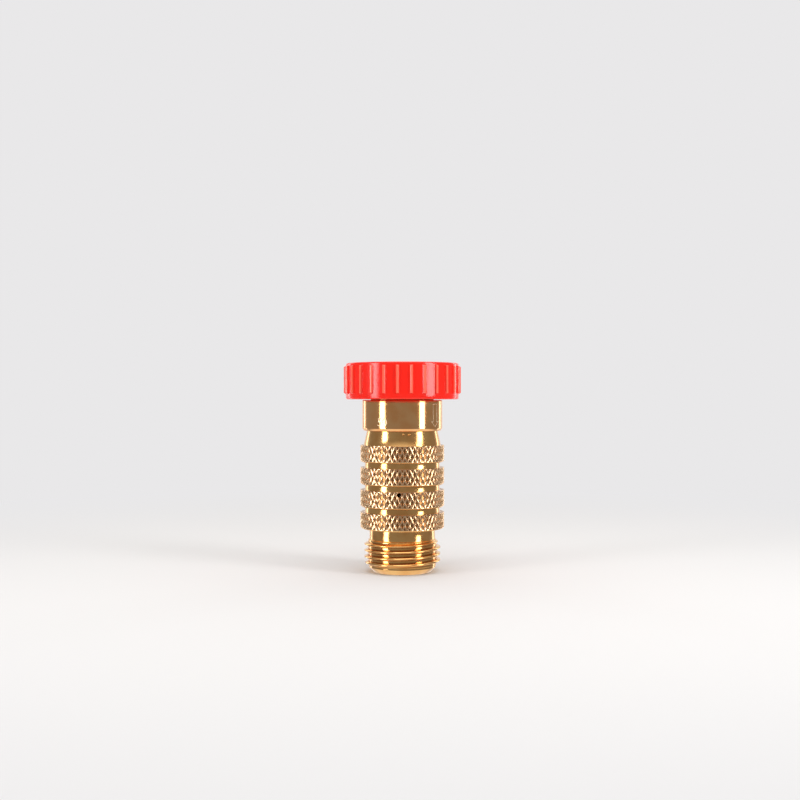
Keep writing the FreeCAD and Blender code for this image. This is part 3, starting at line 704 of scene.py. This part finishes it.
# ---------------------------------------------------------------- inlet body
# The polished barrel over the spigot, turned from brass with a thin neck that carries the nut.
# Its lower edge is rolled to a bright lip, and its marks are etched after polishing.
BARREL_LOW, BARREL_TOP = 49.705, 60.505
BARREL_RADIUS = 14.2
BARREL_BORE = 12.65
BORE_LEAD_ACROSS, BORE_LEAD_TALL = 0.3, 0.35
LIP_ACROSS, LIP_TALL = 0.5, 0.85
BARREL_CHAMFER = 0.3
INLET_NECK_RADIUS = 11.15
INLET_BORE = 9.5
INLET_STEP_RADIUS = 8.2
INLET_STEP = 61.005
INLET_NECK_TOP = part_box("inlet_body")[1][2] / MM
CLIP_HEIGHT = 63.105
CLIP_HALF = 0.75
BUSH_TOP = 57.705
barrel = lathe("inlet_barrel", [
    (BARREL_BORE, BARREL_LOW + BORE_LEAD_TALL),
    (BARREL_BORE + BORE_LEAD_ACROSS, BARREL_LOW),
    (BARREL_RADIUS - LIP_ACROSS, BARREL_LOW),
    (BARREL_RADIUS, BARREL_LOW + LIP_TALL),
    (BARREL_RADIUS, BARREL_TOP - BARREL_CHAMFER),
    (BARREL_RADIUS - BARREL_CHAMFER, BARREL_TOP),
    (INLET_NECK_RADIUS, BARREL_TOP),
    (INLET_NECK_RADIUS, CLIP_HEIGHT - CLIP_HALF),
    (INLET_NECK_RADIUS - CLIP_HALF, CLIP_HEIGHT - CLIP_HALF),
    (INLET_NECK_RADIUS - CLIP_HALF, CLIP_HEIGHT + CLIP_HALF),
    (INLET_NECK_RADIUS, CLIP_HEIGHT + CLIP_HALF),
    (INLET_NECK_RADIUS, INLET_NECK_TOP),
    (INLET_BORE, INLET_NECK_TOP),
    (INLET_BORE, INLET_STEP),
    (INLET_STEP_RADIUS, INLET_STEP),
    (INLET_STEP_RADIUS, BUSH_TOP),
    (BARREL_BORE, BUSH_TOP),
])
round_edges(barrel, 0.08)
# The same bar brass as the housing, polished on the lathe after turning.
coat(barrel, turned_brass("bright_turned_brass", "#F8BE83", "#F3AF71", 0.12, 0.0005))
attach(barrel, "regulator")
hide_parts("inlet_body")

# The etched marks: an arrow that points the way the water flows, and a plain number.
ETCH_STAND = 0.02
ETCH_LINE = 0.24
ARROW_TIP, ARROW_HEAD, ARROW_TAIL = 51.0, 53.1, 59.2
HEAD_HALF, SHAFT_HALF = 2.2, 1.15
ARROW_TURN = 53
NUMBER_TALL = 3.9
NUMBER_HEIGHT = 52.7
NUMBER_TURN = -29.5
bpy.ops.object.select_all(action="DESELECT")
bpy.ops.mesh.primitive_circle_add(vertices=7, radius=MM, fill_type="NGON")
arrow = bpy.context.object
arrow.name = "flow_arrow"
# Both marks are drawn flat, and their cuts let them bend round the barrel.
right_half = [(HEAD_HALF, ARROW_HEAD), (SHAFT_HALF, ARROW_HEAD), (SHAFT_HALF, ARROW_TAIL)]
left_half = [(-across, up) for across, up in reversed(right_half)]
arrow_corners = [(0, ARROW_TIP)] + right_half + left_half
for vertex, (across, up) in zip(arrow.data.vertices, arrow_corners):
    vertex.co = (across * MM, up * MM, 0)
bpy.ops.object.mode_set(mode="EDIT")
bpy.ops.mesh.select_all(action="SELECT")
bpy.ops.mesh.normals_make_consistent(inside=False)
bpy.ops.mesh.inset(thickness=ETCH_LINE * MM, depth=0, use_individual=True, use_even_offset=True)
bpy.ops.mesh.delete(type="FACE")
bpy.ops.mesh.select_all(action="SELECT")
bpy.ops.mesh.subdivide(number_cuts=8)
bpy.ops.object.mode_set(mode="OBJECT")

bpy.ops.object.select_all(action="DESELECT")
bpy.ops.object.text_add()
number = bpy.context.object
number.name = "etched_number"
number.data.body = "50"
number.data.size = NUMBER_TALL * MM
number.data.align_x = "CENTER"
number.data.align_y = "CENTER"
bpy.ops.object.convert(target="MESH")
bpy.ops.object.mode_set(mode="EDIT")
bpy.ops.mesh.select_all(action="SELECT")
bpy.ops.transform.translate(value=(0, NUMBER_HEIGHT * MM, 0))
bpy.ops.mesh.quads_convert_to_tris()
bpy.ops.mesh.subdivide(number_cuts=3)
bpy.ops.object.mode_set(mode="OBJECT")

# Etching leaves a fine matt grain, which looks paler than the polish round it.
etched_brass = turned_brass("etched_brass", "#F7DDBC", "#EFCFA6", 0.5, 0.0002)
for mark, turn in ((arrow, ARROW_TURN), (number, NUMBER_TURN)):
    for vertex in mark.data.vertices:
        angle = math.radians(turn - 90) + vertex.co.x / (BARREL_RADIUS * MM)
        reach = (BARREL_RADIUS + ETCH_STAND) * MM
        vertex.co = (reach * math.cos(angle), reach * math.sin(angle), vertex.co.y)
    bpy.ops.object.select_all(action="DESELECT")
    mark.select_set(True)
    bpy.context.view_layer.objects.active = mark
    film = mark.modifiers.new("film", "SOLIDIFY")
    film.thickness = 2 * ETCH_STAND * MM
    film.offset = -1
    bpy.ops.object.modifier_apply(modifier="film")
    coat(mark, etched_brass)
    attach(mark, "regulator")

# ---------------------------------------------------------------- swivel nut
# The hose nut, moulded in glossy red plastic. Ribs down its wall stop short of both rims,
# and it turns on the inlet neck with its inner lip under the retaining ring.
NUT_LOW, NUT_HIGH = 60.705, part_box("swivel_nut")[1][2] / MM
NUT_BORE = 11.25
NUT_RECESS = 13.7
NUT_RECESS_RUN = 0.2
NUT_WALL = 20.0
NUT_RIM = 0.6
NUT_RIM_MIDDLE = 0.18
NUT_THREAD_ROOT = 13.62
NUT_THREAD_CREST = 12.185
NUT_THREAD_BOTTOM = 67.155
NUT_MOUTH_CHAMFER = 0.7
NUT_LIP_TOP = 62.205
RIBS = 27
STEPS_PER_RIB = 10
RIB_STEPS = 3
RIB_TURN = 360 / RIBS
STEP_TURN = RIB_TURN / STEPS_PER_RIB
FIRST_RIB_TURN = -90 + 8.4
RIB_LOW, RIB_HIGH = NUT_LOW + 1.9, NUT_HIGH - 0.95
# Each rib rises in three terraces, which draw its rounded sides: how far in and how high.
RIB_TERRACES = ((0.16, 0.36), (0.16, 0.24), (0.18, 0.13))
nut = lathe("swivel_nut_shell", [
    (NUT_BORE, NUT_LOW),
    (NUT_WALL - NUT_RIM, NUT_LOW),
    (NUT_WALL - NUT_RIM_MIDDLE, NUT_LOW + NUT_RIM_MIDDLE),
    (NUT_WALL, NUT_LOW + NUT_RIM),
    (NUT_WALL, RIB_LOW),
    (NUT_WALL, RIB_HIGH),
    (NUT_WALL, NUT_HIGH - NUT_RIM),
    (NUT_WALL - NUT_RIM_MIDDLE, NUT_HIGH - NUT_RIM_MIDDLE),
    (NUT_WALL - NUT_RIM, NUT_HIGH),
    (NUT_THREAD_ROOT + NUT_MOUTH_CHAMFER, NUT_HIGH),
    (NUT_THREAD_ROOT, NUT_HIGH - NUT_MOUTH_CHAMFER),
    (NUT_THREAD_ROOT, NUT_THREAD_BOTTOM),
    (NUT_RECESS, NUT_THREAD_BOTTOM - NUT_RECESS_RUN),
    (NUT_RECESS, NUT_LIP_TOP),
    (NUT_BORE, NUT_LIP_TOP),
], steps=RIBS * STEPS_PER_RIB)
bpy.ops.object.mode_set(mode="EDIT")
bpy.ops.mesh.select_mode(type="FACE")
bpy.ops.mesh.select_all(action="DESELECT")
bpy.ops.object.mode_set(mode="OBJECT")
WALL_FLAT = 0.05
for face in nut.data.polygons:
    on_wall = math.hypot(face.center.x, face.center.y) > (NUT_WALL - WALL_FLAT) * MM
    in_rib_band = RIB_LOW * MM < face.center.z < RIB_HIGH * MM
    turn = math.degrees(math.atan2(face.center.y, face.center.x)) - FIRST_RIB_TURN
    column = math.floor(turn / STEP_TURN + RIB_STEPS / 2) % STEPS_PER_RIB
    face.select = on_wall and in_rib_band and column < RIB_STEPS
bpy.ops.object.mode_set(mode="EDIT")
for width, rise in RIB_TERRACES:
    bpy.ops.mesh.inset(thickness=width * MM, depth=rise * MM, use_individual=False,
                       use_even_offset=True)
bpy.ops.object.mode_set(mode="OBJECT")
round_edges(nut, 0.16, angle=25)

NUT_THREAD_TURNS = 2.0
NUT_THREAD_LEAD = 0.4
NUT_CONE_FOOT = 0.25
NUT_CONE_LOW, NUT_CONE_HIGH = NUT_THREAD_BOTTOM - 0.3, NUT_HIGH - 0.35
NUT_CONE_SLOPE = 1.2
nut_thread = thread_ridge(
    "swivel_nut_thread", NUT_THREAD_ROOT, NUT_THREAD_CREST, NUT_THREAD_BOTTOM - NUT_THREAD_LEAD,
    NUT_THREAD_TURNS, NUT_CONE_FOOT, rise=(NUT_CONE_LOW, NUT_CONE_SLOPE),
    fall=(NUT_CONE_HIGH, NUT_CONE_SLOPE))


# A painted highlight on the ribs starts this far out from the wall and is whole at the second distance.
RIB_HIGHLIGHT_START = 0.25
RIB_HIGHLIGHT_WHOLE = 0.7


def moulded_plastic(name, colour, deep, rib_highlight_colour):
    """Injection-moulded ABS: a deep, even colour with a clear gloss and a slight ripple from the
    mould, and a painted highlight that draws it paler along the ribs' tops."""
    made, tree, shader = new_material(name)
    place = add_node(tree, "ShaderNodeTexCoord")
    ripple = add_node(tree, "ShaderNodeTexNoise", {
        "Vector": place.outputs["Object"], "Scale": 1 / (3 * MM), "Detail": 2.0})
    flow = add_node(tree, "ShaderNodeTexNoise", {
        "Vector": place.outputs["Object"], "Scale": 1 / (9 * MM), "Detail": 3.0})
    # Painted highlight: the ribs' tops are drawn paler, for the light they catch.
    rib_highlight = add_node(tree, "ShaderNodeMapRange", {
        "Value": axis_distance(tree, place), "From Min": (NUT_WALL + RIB_HIGHLIGHT_START) * MM,
        "From Max": (NUT_WALL + RIB_HIGHLIGHT_WHOLE) * MM})
    even = add_node(tree, "ShaderNodeMix", {
        0: flow.outputs["Fac"], 6: hex_colour(colour), 7: hex_colour(deep)}, data_type="RGBA")
    shade = add_node(tree, "ShaderNodeMix", {
        0: rib_highlight.outputs[0], 6: even.outputs[2], 7: hex_colour(rib_highlight_colour)}, data_type="RGBA")
    gloss = add_node(tree, "ShaderNodeMapRange", {
        "Value": flow.outputs["Fac"], "To Min": 0.12, "To Max": 0.22})
    skin = add_node(tree, "ShaderNodeBump", {
        "Height": ripple.outputs["Fac"], "Strength": 1.0, "Distance": 0.02 * MM})
    fill_inputs(tree, shader, {
        "IOR": 1.54, "Base Color": shade.outputs[2], "Roughness": gloss.outputs[0],
        "Normal": skin.outputs["Normal"]})
    return made


# The last colour is the painted highlight on the ribs' tops.
nut_plastic = moulded_plastic("moulded_red_abs", "#FC2007", "#F51704", "#FF6A52")
for piece in (nut, nut_thread):
    coat(piece, nut_plastic)
    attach(piece, "nut")
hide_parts("swivel_nut")

# ---------------------------------------------------------------- retaining ring
# An open ring of stainless wire, sprung into the neck's groove above the nut's inner lip.
coat(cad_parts["nut_retaining_ring"], stainless)

# ---------------------------------------------------------------- strainer
# A woven stainless screen in a pressed rim lies on the neck and keeps grit out of the seat.
# Each wire passes over and under those that cross it.
MESH_PITCH = 0.8
MESH_RADIUS = 10.4
WIRE_END_GAP = 0.1
SCREEN_LOW, SCREEN_HIGH = (corner[2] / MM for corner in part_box("screen_disc"))
MESH_MIDDLE = (SCREEN_LOW + SCREEN_HIGH) / 2
MESH_WIRE_RADIUS = (SCREEN_HIGH - SCREEN_LOW) / 4
MESH_WAVE = MESH_WIRE_RADIUS
wires_each_side = int(MESH_RADIUS / MESH_PITCH)
wire_indexes = range(-wires_each_side, wires_each_side + 1)


def woven_wire(index, is_weft):
    """One wire of the screen, index pitches off its middle. A weft wire lies a quarter turn round
    from the warp, and passes over where the warp passes under."""
    offset = index * MESH_PITCH
    reach = math.sqrt(MESH_RADIUS ** 2 - offset ** 2)
    bpy.ops.object.select_all(action="DESELECT")
    bpy.ops.mesh.primitive_circle_add(vertices=6, radius=MESH_WIRE_RADIUS * MM, fill_type="NGON",
                                      rotation=(0, math.pi / 2, 0))
    wire = bpy.context.object
    bpy.ops.object.transform_apply(location=True, rotation=True, scale=True)
    bpy.ops.object.mode_set(mode="EDIT")
    bpy.ops.mesh.select_all(action="SELECT")
    stops = [(-reach, 0.0)]
    for crossing in wire_indexes:
        if abs(crossing) * MESH_PITCH < reach - WIRE_END_GAP:
            over = (crossing + index) % 2 == (0 if is_weft else 1)
            stops.append((crossing * MESH_PITCH, MESH_WAVE if over else -MESH_WAVE))
    stops.append((reach, 0.0))
    along, height = stops[0]
    bpy.ops.transform.translate(value=(along * MM, 0, 0))
    for next_along, next_height in stops[1:]:
        step = ((next_along - along) * MM, 0, (next_height - height) * MM)
        bpy.ops.mesh.extrude_region_move(TRANSFORM_OT_translate={"value": step})
        along, height = next_along, next_height
    bpy.ops.mesh.select_all(action="SELECT")
    bpy.ops.transform.translate(value=(0, offset * MM, MESH_MIDDLE * MM))
    bpy.ops.mesh.normals_make_consistent(inside=False)
    bpy.ops.object.mode_set(mode="OBJECT")
    if is_weft:
        wire.rotation_euler = (0, 0, math.pi / 2)
        bpy.ops.object.transform_apply(location=True, rotation=True, scale=True)
    return wire


wires = [woven_wire(index, is_weft) for is_weft in (False, True) for index in wire_indexes]
bpy.ops.object.select_all(action="DESELECT")
for wire in wires:
    wire.select_set(True)
screen = wires[0]
bpy.context.view_layer.objects.active = screen
bpy.ops.object.join()
screen.name = "strainer_mesh"
bpy.ops.object.shade_smooth_by_angle(angle=math.radians(65))
coat(screen, stainless)
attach(screen, "regulator")
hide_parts("screen_disc")
coat(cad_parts["screen_rim"], stainless)

# ---------------------------------------------------------------- hose washer
# A flat black rubber washer, moulded with rounded edges, seals the hose against the strainer.
WASHER_LOW, WASHER_HIGH = (corner[2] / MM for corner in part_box("hose_washer"))
WASHER_RADIUS = 13.0
WASHER_BORE = 7.9
washer = lathe("hose_washer_ring", [
    (WASHER_BORE, WASHER_LOW),
    (WASHER_RADIUS, WASHER_LOW),
    (WASHER_RADIUS, WASHER_HIGH),
    (WASHER_BORE, WASHER_HIGH),
])
round_edges(washer, 0.35, parts=3)
coat(washer, moulded_rubber("moulded_washer_rubber", "#232324", 0.5, 0.6))
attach(washer, "regulator")
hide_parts("hose_washer")
